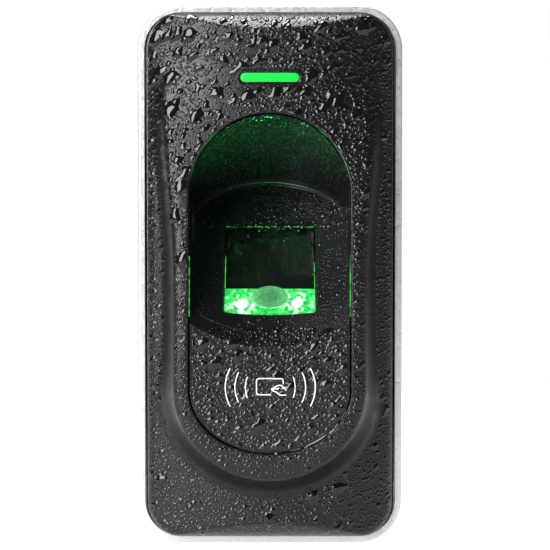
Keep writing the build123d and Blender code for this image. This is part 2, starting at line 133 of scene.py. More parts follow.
def nodeMaterial(name):
    # a new material, its nodes, its links and its shader
    material = bpy.data.materials.new(name)
    material.use_nodes = True
    tree = material.node_tree
    return material, tree.nodes, tree.links, tree.nodes["Principled BSDF"]


def objectPoints(nodes):
    # positions in the piece's own coordinates, in metres
    return nodes.new("ShaderNodeTexCoord").outputs["Object"]


def ramp(nodes, links, source, low, high, lowValue, highValue):
    # carries a value from one range to another
    node = nodes.new("ShaderNodeMapRange")
    node.inputs["From Min"].default_value = low
    node.inputs["From Max"].default_value = high
    node.inputs["To Min"].default_value = lowValue
    node.inputs["To Max"].default_value = highValue
    links.new(source, node.inputs["Value"])
    return node.outputs["Result"]


def noiseFrom(nodes, links, coordinates, scale, detail=2.0):
    # smooth noise from 0 to 1, its scale in cells to the metre
    node = nodes.new("ShaderNodeTexNoise")
    node.inputs["Scale"].default_value = scale
    node.inputs["Detail"].default_value = detail
    links.new(coordinates, node.inputs["Vector"])
    return node.outputs["Fac"]


def bumpFrom(nodes, links, height, distance, under=None):
    # a bump of this depth in metres, over another one where it is given
    node = nodes.new("ShaderNodeBump")
    node.inputs["Distance"].default_value = distance
    links.new(height, node.inputs["Height"])
    if under is not None:
        links.new(under, node.inputs["Normal"])
    return node.outputs["Normal"]


def tinted(nodes, links, factor, colourA, colourB):
    # goes from the first colour to the second as the factor goes from 0 to 1
    node = nodes.new("ShaderNodeMix")
    node.data_type = "RGBA"
    node.inputs[6].default_value = (*colourA, 1)
    node.inputs[7].default_value = (*colourB, 1)
    links.new(factor, node.inputs[0])
    return node.outputs[2]


def cellsFrom(nodes, links, coordinates, scale):
    # scattered points: gives the distance to the nearest one, and a random colour for its cell
    node = nodes.new("ShaderNodeTexVoronoi")
    node.inputs["Scale"].default_value = scale
    links.new(coordinates, node.inputs["Vector"])
    return node


def combined(nodes, links, operation, first, second):
    # two sockets or numbers put together by a Math operation
    node = nodes.new("ShaderNodeMath")
    node.operation = operation
    for socket, value in zip(node.inputs, (first, second)):
        if isinstance(value, (int, float)):
            socket.default_value = value
        else:
            links.new(value, socket)
    return node.outputs[0]


def spotNearness(nodes, links, where, spot, inner, outer):
    # 1 within the inner distance of a spot, falling to 0 at the outer one
    distance = nodes.new("ShaderNodeVectorMath")
    distance.operation = "DISTANCE"
    links.new(where, distance.inputs[0])
    distance.inputs[1].default_value = spot
    return ramp(nodes, links, distance.outputs["Value"], inner * mm, outer * mm, 1.0, 0.0)


def mouldedPlastic(name, colour, roughness, grain=0.16, grainHeight=0.006, mist=0.0, specular=0.5):
    # colour drifts a little with slow noise; roughness with mid noise; fine noise is the moulded grain, its
    # size and depth in millimetres; mist is the depth of a film of tiny round droplets, each a bump from the
    # distance to the nearest random point
    material, nodes, links, shader = nodeMaterial(name)
    where = objectPoints(nodes)
    slow = noiseFrom(nodes, links, where, 60, 3)
    mid = noiseFrom(nodes, links, where, 700, 4)
    fine = noiseFrom(nodes, links, where, 1 / (grain * mm), 2)
    dark = tuple(c * 0.8 for c in colour)
    links.new(tinted(nodes, links, slow, dark, colour), shader.inputs["Base Color"])
    links.new(ramp(nodes, links, mid, 0.3, 0.7, roughness - 0.05, roughness + 0.05), shader.inputs["Roughness"])
    normal = bumpFrom(nodes, links, fine, grainHeight * mm)
    if mist:
        cells = cellsFrom(nodes, links, where, 1 / (0.55 * mm))
        bead = ramp(nodes, links, cells.outputs["Distance"], 0.0, 0.42, 1.0, 0.0)
        patch = ramp(nodes, links, noiseFrom(nodes, links, where, 260, 3), 0.38, 0.6, 0.25, 1.0)
        normal = bumpFrom(nodes, links, combined(nodes, links, "MULTIPLY", bead, patch), mist * mm, under=normal)
    links.new(normal, shader.inputs["Normal"])
    shader.inputs["Specular IOR Level"].default_value = specular
    return material


def metalFinish(name, colour, roughness, metallic=1.0, grain=(1, 1, 1), grainScale=900, grainHeight=0.004):
    # brushed or cast metal: noise stretched along one axis drives roughness and a shallow bump
    material, nodes, links, shader = nodeMaterial(name)
    where = objectPoints(nodes)
    stretch = nodes.new("ShaderNodeMapping")
    stretch.inputs["Scale"].default_value = grain
    links.new(where, stretch.inputs["Vector"])
    lines = noiseFrom(nodes, links, stretch.outputs["Vector"], grainScale, 4)
    slow = noiseFrom(nodes, links, where, 90, 3)
    dull = tuple(c * 0.82 for c in colour)
    links.new(tinted(nodes, links, slow, dull, colour), shader.inputs["Base Color"])
    links.new(ramp(nodes, links, lines, 0.3, 0.7, roughness - 0.08, roughness + 0.1), shader.inputs["Roughness"])
    links.new(bumpFrom(nodes, links, lines, grainHeight * mm), shader.inputs["Normal"])
    shader.inputs["Metallic"].default_value = metallic
    return material


def boardMaterial(name, colour):
    # solder mask with fine tracks: bands of a wave pattern, in two shades, raised a little
    material, nodes, links, shader = nodeMaterial(name)
    where = objectPoints(nodes)
    tracks = nodes.new("ShaderNodeTexWave")
    tracks.inputs["Scale"].default_value = 260
    tracks.inputs["Distortion"].default_value = 3.5
    links.new(where, tracks.inputs["Vector"])
    band = ramp(nodes, links, tracks.outputs["Fac"], 0.45, 0.6, 0.0, 1.0)
    links.new(tinted(nodes, links, band, colour, tuple(c * 1.7 for c in colour)), shader.inputs["Base Color"])
    links.new(bumpFrom(nodes, links, band, 0.03 * mm), shader.inputs["Normal"])
    shader.inputs["Roughness"].default_value = 0.35
    return material


def glowMaterial(name, colour, strength, ripple=0.25, rippleScale=900):
    # a lit plastic: its light rises and falls a little with noise
    material, nodes, links, shader = nodeMaterial(name)
    where = objectPoints(nodes)
    wave = noiseFrom(nodes, links, where, rippleScale, 3)
    shader.inputs["Base Color"].default_value = (*[0.1 * c for c in colour], 1)
    shader.inputs["Roughness"].default_value = 0.4
    shader.inputs["Specular IOR Level"].default_value = 0.15
    shader.inputs["Emission Color"].default_value = (*colour, 1)
    light = ramp(nodes, links, wave, 0.3, 0.7, strength * (1 - ripple), strength * (1 + ripple))
    links.new(light, shader.inputs["Emission Strength"])
    return material


finishes = {
    "face": mouldedPlastic("faceBlack", (0.0045, 0.0045, 0.005), 0.33, mist=0.14, specular=0.34),
    "tray": mouldedPlastic("trayBlack", (0.004, 0.004, 0.0045), 0.32, mist=0.14, specular=0.32),
    "rear": mouldedPlastic("rearBlack", (0.02, 0.02, 0.022), 0.55, grain=0.3, grainHeight=0.02),
    "chip": mouldedPlastic("chipBlack", (0.025, 0.025, 0.03), 0.5),
    "housing": mouldedPlastic("housingBlack", (0.008, 0.01, 0.009), 0.5),
    "socket": mouldedPlastic("socketIvory", (0.72, 0.68, 0.56), 0.45),
    "ribbon": mouldedPlastic("ribbonWhite", (0.75, 0.75, 0.72), 0.4),
    "rubber": mouldedPlastic("sealRubber", (0.018, 0.018, 0.018), 0.7, grain=0.5, grainHeight=0.03, specular=0.3),
    "bezel": metalFinish("bezelSilver", (0.69, 0.7, 0.7), 0.34, metallic=0.6, grainScale=1200, grainHeight=0.1),
    "plate": metalFinish("plateZinc", (0.62, 0.63, 0.65), 0.38, grain=(1, 1, 12)),
    "screw": metalFinish("screwZinc", (0.58, 0.58, 0.6), 0.3, grainScale=2600),
    "blackScrew": metalFinish("screwBlack", (0.05, 0.05, 0.055), 0.42, metallic=0.6, grainScale=2600),
    "can": metalFinish("canSilver", (0.78, 0.78, 0.8), 0.22, grain=(1, 8, 1)),
    "copper": metalFinish("coilCopper", (0.75, 0.38, 0.2), 0.3, grain=(1, 1, 6), grainScale=2500),
    "gold": metalFinish("pinGold", (0.9, 0.68, 0.32), 0.25),
    "board": boardMaterial("boardGreen", (0.01, 0.09, 0.035)),
    "guide": glowMaterial("guideGreen", (0.02, 0.7, 0.1), 0.25),
    "led": glowMaterial("ledEpoxy", (0.5, 0.9, 0.6), 0.3, ripple=0.1),
}


def dewOnRoof(material):
    # above the finger's reach the hollow is beaded: glossier, with a bump from the distance to the nearest of
    # scattered points, fading in with height
    nodes, links = material.node_tree.nodes, material.node_tree.links
    shader = nodes["Principled BSDF"]
    where = objectPoints(nodes)
    split = nodes.new("ShaderNodeSeparateXYZ")
    links.new(where, split.inputs[0])
    high = ramp(nodes, links, split.outputs["Z"], 10 * mm, 20 * mm, 0.0, 1.0)
    cells = cellsFrom(nodes, links, where, 1 / (0.42 * mm))
    bead = ramp(nodes, links, cells.outputs["Distance"], 0.0, 0.5, 1.0, 0.0)
    grain = shader.inputs["Normal"].links[0].from_socket
    normal = bumpFrom(nodes, links, combined(nodes, links, "MULTIPLY", bead, high), 0.34 * mm, under=grain)
    links.new(normal, shader.inputs["Normal"])
    links.new(ramp(nodes, links, high, 0.0, 1.0, 0.32, 0.11), shader.inputs["Roughness"])


dewOnRoof(finishes["tray"])
print("finishes made", len(finishes))

# the finish of each CAD node
nodeFinishes = {
    "rear_cover": "rear", "case_seal": "rubber", "finger_tray": "tray", "sensor_gasket": "rubber",
    "sensor_housing": "housing", "sensor_board": "board", "image_sensor": "chip", "lens_barrel": "housing",
    "sensor_ribbon": "ribbon", "status_ribbon": "ribbon", "ribbon_sockets": "socket", "antenna_board": "board",
    "antenna_coil": "copper", "antenna_lead": "rubber", "main_board": "board", "processor": "chip",
    "memory_chip": "chip", "radio_chip": "chip", "crystal": "can", "capacitors": "can", "buzzer": "chip",
    "connector_header": "socket", "connector_pins": "gold", "cable_seal": "rubber", "status_board": "board",
    "tamper_switch": "chip", "tamper_plunger": "socket", "tamper_spring": "screw", "case_screws": "blackScrew",
    "board_screws": "screw", "tray_screws": "screw", "security_screw": "screw", "back_plate": "plate",
    "bezel_frame": "bezel", "light_guide": "guide", "sensor_leds": "led", "status_leds": "led",
    # the sensor lens and the prism take the light guide's glow: painted light, as neither is a lamp
    "sensor_lens": "guide", "front_cover": "face", "sensor_prism": "guide", "status_light": "guide",
}
for node, finish in nodeFinishes.items():
    for materialSlot in bpy.data.objects[node].material_slots:
        materialSlot.material = finishes[finish]

# shapes of the face, as heights over x and z

coverX, coverH, coverZ = boxOf("front_cover")

faceShape = {
    "ledge": 0.4,  # thin ledge round its foot
    "ledgeTop": coverH[0] + 0.6,
    "halfWide": coverX[1] - 0.4,
    "halfTall": coverZ[1] - 0.4,
    "cornerRadius": 6.45,
    "foot": coverH[0],
    "crown": 30.0,  # height of the dome's middle line
    "domeRadius": 52.0,
    "bevelStart": 45.8,  # z where the end bevels leave the crown
    "bevelSlope": 1.1,
    "edgeRound": 1.7,
    "crest": coverH[1],  # highest point of the raised ring
    "crestZ": -22.0,
    "crestRadius": 260.0,
    "wall": 2.2,
}
openingShape = {
    "half": 14.75,
    "archZ": 15.4,
    "footZ": -20.2,
    "footRise": 11.7,
    "lip": 0.25,
    "depth": 2.4,  # how far the lip's wall goes in
}
plateauShape = {
    "half": 17.7,
    "flare": 2.0,  # how much wider it is near the top
    "flareTop": 34.0,
    "footRise": 16.6,
    "slopeWidth": 2.7,  # of the hollow slope beside it, and
    "footSlopeWidth": 4.8,  # below it
}
bedShape = {
    "angle": math.radians(40),
    "z": 1.4,
    "height": 24.7,
    "trough": 42.0,
    "windowWide": 16.9,
    "windowLong": 21.3,
    "windowSink": 0.3,
}
hollowShape = {"half": 14.6, "roofHeight": 31.5, "roofFall": 0.58, "recess": 0.4}


def roundedRectDistance(x, z, halfWide, halfTall, radius):
    # distance outside a rounded rectangle, negative inside
    qx, qz = np.abs(x) - (halfWide - radius), np.abs(z) - (halfTall - radius)
    return np.hypot(np.maximum(qx, 0), np.maximum(qz, 0)) + np.minimum(np.maximum(qx, qz), 0) - radius


def ovalFootDistance(x, z, half, rise, footZ):
    # distance outside half an ellipse, taken along the line from its centre
    around = np.sqrt((x / half) ** 2 + ((z - footZ) / rise) ** 2) + 1e-6
    return np.hypot(x, z - footZ) * (1 - 1 / around)


def openingDistance(x, z):
    # distance outside the tray's opening: a half circle on straight sides, with half an ellipse below
    s = openingShape
    half = s["half"]
    top = np.hypot(x, z - s["archZ"]) - half
    foot = ovalFootDistance(x, z, half, s["footRise"], s["footZ"])
    return np.where(z > s["archZ"], top, np.where(z < s["footZ"], foot, np.abs(x) - half))


def plateauDistance(x, z):
    # distance outside the plateau: straight sides that spread towards the top, and half an ellipse below
    p = plateauShape
    side = np.abs(x) - (p["half"] + p["flare"] * smoothStep(0, p["flareTop"], z))
    foot = ovalFootDistance(x, z, p["half"], p["footRise"], openingShape["footZ"])
    return np.where(z < openingShape["footZ"], foot, side)


def crestHeight(z):
    # the nose's long curve, an arc seen from the side
    f = faceShape
    return f["crest"] - (z - f["crestZ"]) ** 2 / (2 * f["crestRadius"])


def faceHeight(x, z):
    # a dome about an upright axis, cut by two end bevels, with the nose added: full height on the plateau,
    # then a hollow slope that runs out on the dome. Its outline and the opening's lip are rounded over.
    f, p, o = faceShape, plateauShape, openingShape
    dome = f["crown"] - f["domeRadius"] + np.sqrt(f["domeRadius"] ** 2 - np.clip(x, -40, 40) ** 2)
    bevel = f["crown"] + f["bevelSlope"] * (f["bevelStart"] - np.abs(z))
    base = dome - softAbove(dome - bevel, 0.25)
    outside = softAbove(plateauDistance(x, z), 0.5)
    width = p["slopeWidth"] + (p["footSlopeWidth"] - p["slopeWidth"]) * (1 - smoothStep(-34, -8, z))
    fall = np.clip(1 - outside / width, 0, 1) ** 2.2
    weight = 1 - smoothStep(18, 44, z)
    crest = crestHeight(z) - 0.3 * (x / 17) ** 2
    ring = np.clip(openingDistance(x, z) / 1.5 - 1, -1, 1) ** 2 * 0.12 * (1 - smoothStep(-5, 25, z))
    height = base + weight * fall * (softAbove(crest - base, 0.4) - ring)
    edge = -roundedRectDistance(x, z, f["halfWide"], f["halfTall"], f["cornerRadius"])
    r = f["edgeRound"]
    near = np.clip(r - edge, 0, r)
    height = height - (r - np.sqrt(np.maximum(r * r - near * near, 0)))
    lip = np.clip(o["lip"] - openingDistance(x, z), 0, o["lip"])
    return height - (o["lip"] - np.sqrt(np.maximum(o["lip"] ** 2 - lip * lip, 0)))


def insideHeight(x, z):
    # what shows inside the opening: the lower of the tray's flat and the hollow, whose floor is the higher
    # of the sloping trough and the arched roof
    b, h = bedShape, hollowShape
    rise = b["trough"] - np.sqrt(b["trough"] ** 2 - np.clip(x, -20, 20) ** 2)
    bed = b["height"] - math.tan(b["angle"]) * (z - b["z"]) + rise / math.cos(b["angle"])
    arch = np.sqrt(np.maximum(h["half"] ** 2 - x * x, 0))
    roof = h["roofHeight"] + (z - openingShape["archZ"] - arch) / h["roofFall"]
    return np.minimum(crestHeight(z) - h["recess"], np.maximum(bed, roof))


# front cover

coverGrid = {"arch": 230, "side": 64, "foot": 170, "lip": 6, "face": 104, "edge": 9, "inside": 26}


def outwardRays():
    # columns that fan out round the arch, run side by side along the straights and fan out round the foot:
    # the start, direction, and reach to the opening and to the outline of each
    o, f = openingShape, faceShape
    top = np.linspace(0, math.pi, coverGrid["arch"], endpoint=False)
    down = np.linspace(0, 1, coverGrid["side"], endpoint=False)
    foot = np.linspace(math.pi, 2 * math.pi, coverGrid["foot"], endpoint=False)
    angle = np.concatenate([top, np.full(len(down), math.pi), foot, np.full(len(down), 2 * math.pi)])
    drop = o["footZ"] - o["archZ"]
    startZ = np.concatenate([np.full(len(top), o["archZ"]), o["archZ"] + drop * down,
                             np.full(len(foot), o["footZ"]), o["footZ"] - drop * down])
    cosA, sinA = np.cos(angle), np.sin(angle)
    inner = np.where(sinA < -1e-9, 1 / np.sqrt((cosA / o["half"]) ** 2 + (sinA / o["footRise"]) ** 2), o["half"])
    return startZ, cosA, sinA, inner


def reachTo(startZ, cosA, sinA, halfWide, halfTall, radius):
    # how far each ray goes to a rounded rectangle, by halving the gap
    low, high = np.zeros_like(cosA), np.full_like(cosA, 90.0)
    for step in range(40):
        middle = (low + high) / 2
        inside = roundedRectDistance(middle * cosA, startZ + middle * sinA, halfWide, halfTall, radius) < 0
        low, high = np.where(inside, middle, low), np.where(inside, high, middle)
    return low


def coverShell():
    # each column runs from the foot of the lip's wall, over the lip, across the face to the outline, down
    # the skirt and back along the inside, and the shell is closed where it started
    f, o = faceShape, openingShape
    startZ, cosA, sinA, inner = outwardRays()
    outer = reachTo(startZ, cosA, sinA, f["halfWide"], f["halfTall"], f["cornerRadius"])
    lipRows = o["lip"] * (1 - np.cos(np.linspace(0, math.pi / 2, coverGrid["lip"])))
    edgeRows = f["edgeRound"] * (1 - np.cos(np.linspace(0, math.pi / 2, coverGrid["edge"])))[::-1]
    middleRows = np.linspace(0, 1, coverGrid["face"])[1:-1]
    lipEnd, edgeStart = inner + lipRows[-1], outer - edgeRows[0]
    reach = np.concatenate([inner + lipRows[:, None], lipEnd + middleRows[:, None] * (edgeStart - lipEnd),
                            outer - edgeRows[:, None]])
    x, z = reach * cosA, startZ + reach * sinA
    top = np.stack([x, faceHeight(x, z), z], -1)
    wallFoot = top[:1].copy()
    wallFoot[..., 1] -= o["depth"] - o["lip"]
    ledge = outer + f["ledge"]
    skirt = np.stack([top[-1], top[-1], top[-1], top[-1]])
    skirt[0, :, 1] = f["ledgeTop"] + 0.06
    skirt[1, :, 1] = f["ledgeTop"]
    for row in (2, 3):
        skirt[row, :, 0], skirt[row, :, 2] = ledge * cosA, startZ + ledge * sinA
    skirt[2, :, 1] = f["ledgeTop"]
    skirt[3, :, 1] = f["foot"]
    shares = np.linspace(1, 0, coverGrid["inside"])[:, None]
    insideReach = inner + o["lip"] + 0.4 + shares * (outer - f["wall"] - inner - 1)
    xi, zi = insideReach * cosA, startZ + insideReach * sinA
    under = np.stack([xi, faceHeight(xi, zi) - f["wall"], zi], -1)
    under[..., 1] = np.maximum(under[..., 1], f["foot"] + 0.4)
    skirtInner = under[:1].copy()
    skirtInner[..., 1] = f["foot"]
    points = np.concatenate([wallFoot, top, skirt, skirtInner, under])
    return points, gridFaces(len(points), points.shape[1], True, True)


coverPoints, coverFaces = coverShell()
frontCover = meshPiece("frontCover", coverPoints, coverFaces, finishes["face"], slot="case_black", flip=True)
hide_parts("front_cover")
print("front cover", len(coverFaces), "faces")

# status light

statusLight = {
    "width": 10.9,
    "tall": 1.75,
    "z": sum(boxOf("status_light")[2]) / 2,
    "foot": 24.0,  # height of the bar's flat back
}
# sections round the slot: growth outwards and height above the face, with None for the bar's flat foot
barProfile = [(-statusLight["tall"] / 2, None), (-0.1, None), (0, None), (0, -1), (0, -0.1), (-0.03, -0.02),
              (-0.1, 0.03), (-0.22, 0.06), (-0.4, 0.075), (-statusLight["tall"] / 2, 0.08)]
surroundProfile = [(0.6, -0.6), (0.6, 0.02), (0.56, 0.13), (0.47, 0.18), (0.36, 0.17), (0.2, 0.05),
                   (0.08, 0.01), (0.04, -0.1), (0.04, -0.6), (0.6, -0.6)]


def slotPath(width, tall):
    # points round a slot: a half circle at each end, with evenly spaced points along both straight sides
    perEnd, perSide = 28, 40
    r, straight = tall / 2, (width - tall) / 2
    turn = np.linspace(-math.pi / 2, math.pi / 2, perEnd)
    along = np.linspace(straight, -straight, perSide + 2)[1:-1]
    x = np.concatenate([straight + r * np.cos(turn), along, -straight - r * np.cos(turn), -along])
    z = np.concatenate([r * np.sin(turn), np.full(perSide, r), -r * np.sin(turn), np.full(perSide, -r)])
    return x, z


def slotPiece(name, profile, material, slot):
    # carries a section round the light's slot, each row of it at the face's height plus its own
    light = statusLight
    rows = []
    for grow, height in profile:
        x, z = slotPath(light["width"] + 2 * grow, max(light["tall"] + 2 * grow, 0.001))
        z = z + light["z"]
        level = np.full_like(x, light["foot"]) if height is None else faceHeight(x, z) + height
        rows.append(np.stack([x, level, z], -1))
    closed = profile[0] == profile[-1]
    points = np.array(rows[:-1] if closed else rows)
    faces = gridFaces(len(points), points.shape[1], closed, True)
    return meshPiece(name, points, faces, material, slot=slot, weld=0.005)


barGlow = glowMaterial("statusGreen", (0.008, 0.93, 0.085), 0.95, ripple=0.12, rippleScale=500)
lightBar = slotPiece("lightBar", barProfile, barGlow, "light_green")
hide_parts("status_light")
slotPiece("lightSurround", surroundProfile, finishes["tray"], "case_black")
print("status light")

# sensor window

windowPane = {
    "halfWide": bedShape["windowWide"] / 2 - 0.03,
    "halfLong": bedShape["windowLong"] / 2 - 0.03,
    "top": -bedShape["windowSink"],
    "thick": 0.4,
    "glowTop": -bedShape["windowSink"] - 0.5,  # the lit panel behind the glass
    "glowThick": 0.5,
    "glowEnd": -4.2,  # how far up the slope it reaches
}
windowLamps = {"across": 5.0, "up": -7.6, "deep": 0.85, "core": (0.7, 1.25), "halo": (0.8, 4.2), "facetScale": 1500}
lens = {"halfWide": 3.4, "halfTall": 2.5, "up": -6.1, "rise": 0.07}


def bedPoints(along, up, height):
    # from the bed's own frame (across, up the slope, out of it) to x, height and z
    b = bedShape
    sinA, cosA = math.sin(b["angle"]), math.cos(b["angle"])
    return np.stack([along, b["height"] - sinA * up + cosA * height, b["z"] + cosA * up + sinA * height], -1)


def bedSpot(across, up, height):
    # one such point in the scene's metres
    x, out, z = bedPoints(np.array(across), np.array(up), np.array(height))
    return x * mm, -out * mm, z * mm


def roundedPath(halfWide, halfTall, radius):
    # points round a rounded rectangle, a quarter circle at each corner
    turn = np.linspace(0, math.pi / 2, 12)
    x, y = [], []
    for quarter, (sx, sy) in enumerate(((1, 1), (-1, 1), (-1, -1), (1, -1))):
        angle = turn + quarter * math.pi / 2
        x.append(sx * (halfWide - radius) + radius * np.cos(angle))
        y.append(sy * (halfTall - radius) + radius * np.sin(angle))
    return np.concatenate(x), np.concatenate(y)


def bedPlate(name, lowEnd, highEnd, radius, top, thick, ease, material, slot):
    # a plate on the bed: a section with eased edges, carried round a rounded rectangle and closed in the middle
    halfWide = windowPane["halfWide"]
    middle, halfTall = (lowEnd + highEnd) / 2, (highEnd - lowEnd) / 2
    section = [(halfWide, top), (ease * 3, top), (ease, top), (ease * 0.3, top - ease * 0.3), (0, top - ease),
               (0, top - ease * 2), (0, top - thick + ease), (0, top - thick), (ease, top - thick),
               (halfWide, top - thick)]
    tiny = 0.001
    rows = []
    for inset, height in section:
        x, y = roundedPath(max(halfWide - inset, tiny), max(halfTall - inset, tiny),
                           max(min(radius, halfWide, halfTall) - inset, tiny / 2))
        rows.append(bedPoints(x, y + middle, np.full_like(x, height)))
    points = np.array(rows)
    faces = gridFaces(len(rows), points.shape[1], False, True)
    return meshPiece(name, points, faces, material, slot=slot, flip=True, weld=0.005)


def windowGlassMaterial():
    # clear glass with a faint green body; its roughness rises a little where noise says that fingers smear it
    material, nodes, links, shader = nodeMaterial("windowGlass")
    where = objectPoints(nodes)
    smear = noiseFrom(nodes, links, where, 420, 4)
    links.new(ramp(nodes, links, smear, 0.42, 0.7, 0.01, 0.05), shader.inputs["Roughness"])
    links.new(bumpFrom(nodes, links, smear, 0.002 * mm), shader.inputs["Normal"])
    shader.inputs["Base Color"].default_value = (0.9, 1, 0.93, 1)
    shader.inputs["Transmission Weight"].default_value = 1
    shader.inputs["IOR"].default_value = 1.48
    return material


def glowPanelMaterial(lamps):
    # green light, whitest within a millimetre of the two lamps and on random facets near them,
    # and dimmer in small random pits
    material, nodes, links, shader = nodeMaterial("windowGlow")
    where = objectPoints(nodes)
    facets = cellsFrom(nodes, links, where, lamps["facetScale"])
    flash = ramp(nodes, links, facets.outputs["Color"], 0.5, 0.62, 0.0, 1.0)
    heats = []
    for side in (-1, 1):
        spot = bedSpot(side * lamps["across"], lamps["up"], -lamps["deep"])
        core = spotNearness(nodes, links, where, spot, *lamps["core"])
        halo = spotNearness(nodes, links, where, spot, *lamps["halo"])
        spark = combined(nodes, links, "MULTIPLY", combined(nodes, links, "MULTIPLY", halo, flash), 0.9)
        heats.append(combined(nodes, links, "MAXIMUM", core, spark))
    heat = combined(nodes, links, "MAXIMUM", *heats)
    links.new(tinted(nodes, links, heat, (0.012, 0.9, 0.11), (1, 1, 1)), shader.inputs["Emission Color"])
    pits = ramp(nodes, links, noiseFrom(nodes, links, where, 1900, 3), 0.35, 0.55, 0.45, 1.05)
    boost = combined(nodes, links, "MULTIPLY", heat, 1.5)
    links.new(combined(nodes, links, "ADD", pits, boost), shader.inputs["Emission Strength"])
    shader.inputs["Base Color"].default_value = (0.01, 0.1, 0.03, 1)
    return material


def lensMaterial():
    # lit green glass, paler towards its middle, its light broken by noise
    material, nodes, links, shader = nodeMaterial("lensGlow")
    where = objectPoints(nodes)
    middle = spotNearness(nodes, links, where, bedSpot(0.0, lens["up"], windowPane["glowTop"]), 1.0, 3.3)
    links.new(tinted(nodes, links, middle, (0.16, 0.66, 0.24), (0.07, 0.25, 0.1)), shader.inputs["Emission Color"])
    grain = noiseFrom(nodes, links, where, 1200, 3)
    links.new(ramp(nodes, links, grain, 0.35, 0.65, 0.6, 1.1), shader.inputs["Emission Strength"])
    shader.inputs["Base Color"].default_value = (0.02, 0.12, 0.04, 1)
    return material


def beadedGlow(name, scale, low, high):
    # a green line of light broken into beads by noise
    material, nodes, links, shader = nodeMaterial(name)
    beads = noiseFrom(nodes, links, objectPoints(nodes), scale, 2)
    shader.inputs["Base Color"].default_value = (0.002, 0.03, 0.006, 1)
    shader.inputs["Emission Color"].default_value = (0.02, 0.85, 0.06, 1)
    links.new(ramp(nodes, links, beads, 0.44, 0.6, low, high), shader.inputs["Emission Strength"])
    return material


def lensDome():
    # an oval cap: rings of an ellipse that rise like a circle's arc towards the middle, on a low skirt
    turn = np.linspace(0, 2 * math.pi, 64, endpoint=False)
    across, up = lens["halfWide"] * np.cos(turn), lens["halfTall"] * np.sin(turn)
    base = windowPane["glowTop"]
    rings = [(0.98, base - 0.2)]
    for share in np.linspace(0, math.pi / 2, 12):
        rings.append((max(math.cos(share), 0.0005), base + 0.01 + lens["rise"] * math.sin(share)))
    points = np.array([bedPoints(reach * across, lens["up"] + reach * up, np.full_like(turn, height))
                       for reach, height in rings])
    return points, gridFaces(len(rings), len(turn), False, True)


def lensCrescent():
    # a flat ribbon round the lower half of the lens, its edges turned down
    turn = np.linspace(math.radians(186), math.radians(354), 50)[None, :]
    reach = np.array([[0.99], [1.03], [1.08], [1.11]])
    rise = np.array([[-0.03], [0.05], [0.05], [-0.03]])
    points = bedPoints(lens["halfWide"] * reach * np.cos(turn), lens["up"] + lens["halfTall"] * reach * np.sin(turn),
                       windowPane["glowTop"] + rise + 0 * turn)
    return points, gridFaces(*points.shape[:2])


pane = windowPane
windowGlass = bedPlate("windowGlass", -pane["halfLong"], pane["halfLong"], 0.5, pane["top"], pane["thick"], 0.06,
                       windowGlassMaterial(), "prism_glass")
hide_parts("sensor_prism")
bedPlate("glowPanel", -pane["halfLong"], pane["glowEnd"], 0.3, pane["glowTop"], pane["glowThick"], 0.05,
         glowPanelMaterial(windowLamps), "light_green")
bedPlate("windowBack", pane["glowEnd"] + 0.1, pane["halfLong"], 0.3, pane["glowTop"], pane["glowThick"], 0.05,
         mouldedPlastic("windowBack", (0.001, 0.004, 0.002), 0.6, specular=0.1), "housing_black")
meshPiece("lensDome", *lensDome(), lensMaterial(), slot="lens_glass", weld=0.005)
crescentGlow = glowMaterial("lensRingGlow", (0.42, 0.95, 0.55), 0.85, ripple=0.35, rippleScale=1300)
meshPiece("lensRing", *lensCrescent(), crescentGlow, slot="lens_glass", flip=True)

# thin lines of light along the window's edges and the hollow's sides
edgeLine = {"inset": 0.12, "out": 0.02, "lift": 0.03, "lowEnd": -4.4, "topInset": 0.22}
seamLine = {"x": 14.62, "halfWide": 0.1, "low": -6.9, "high": 4.0, "deep": 0.9}
edgeGlow = beadedGlow("edgeGlow", 900, 0.55, 1.1)
dottedGlow = beadedGlow("dottedGlow", 1500, 0.02, 0.75)
seamGlow = beadedGlow("seamGlow", 700, 0.05, 0.7)
for name, side, highEnd in (("left", -1, 3.3), ("right", 1, 1.7)):
    across = np.sort([side * (pane["halfWide"] - edgeLine["inset"]), side * (pane["halfWide"] + edgeLine["out"])])
    along, up = np.meshgrid(across, np.linspace(edgeLine["lowEnd"], highEnd, 24))
    strip = bedPoints(along, up, np.full_like(along, pane["top"] + edgeLine["lift"]))
    meshPiece("edgeLight_" + name, strip, gridFaces(*strip.shape[:2]), edgeGlow, slot="light_green")
along, up = np.meshgrid(np.linspace(-pane["halfWide"], pane["halfWide"], 60),
                        [pane["halfLong"] - edgeLine["topInset"], pane["halfLong"] + edgeLine["out"]])
strip = bedPoints(along, up, np.full_like(along, pane["top"] + edgeLine["lift"]))
meshPiece("edgeLight_top", strip, gridFaces(*strip.shape[:2]), dottedGlow, slot="light_green")
seamRows = np.linspace(seamLine["low"], seamLine["high"], 30)
for name, side in (("left", -1), ("right", 1)):
    across, z = np.meshgrid([-seamLine["halfWide"], seamLine["halfWide"]], seamRows)
    seam = np.stack([side * seamLine["x"] + across, crestHeight(z) - seamLine["deep"], z], -1)
    meshPiece("seamLight_" + name, seam, gridFaces(*seam.shape[:2]), seamGlow, slot="light_green")
print("window lit")

# fillet where the hollow's roof runs into its bed

fillet = {"across": 120, "along": 13, "halfWide": 0.8, "softness": 0.5, "endGap": 0.25, "tuck": 0.12}


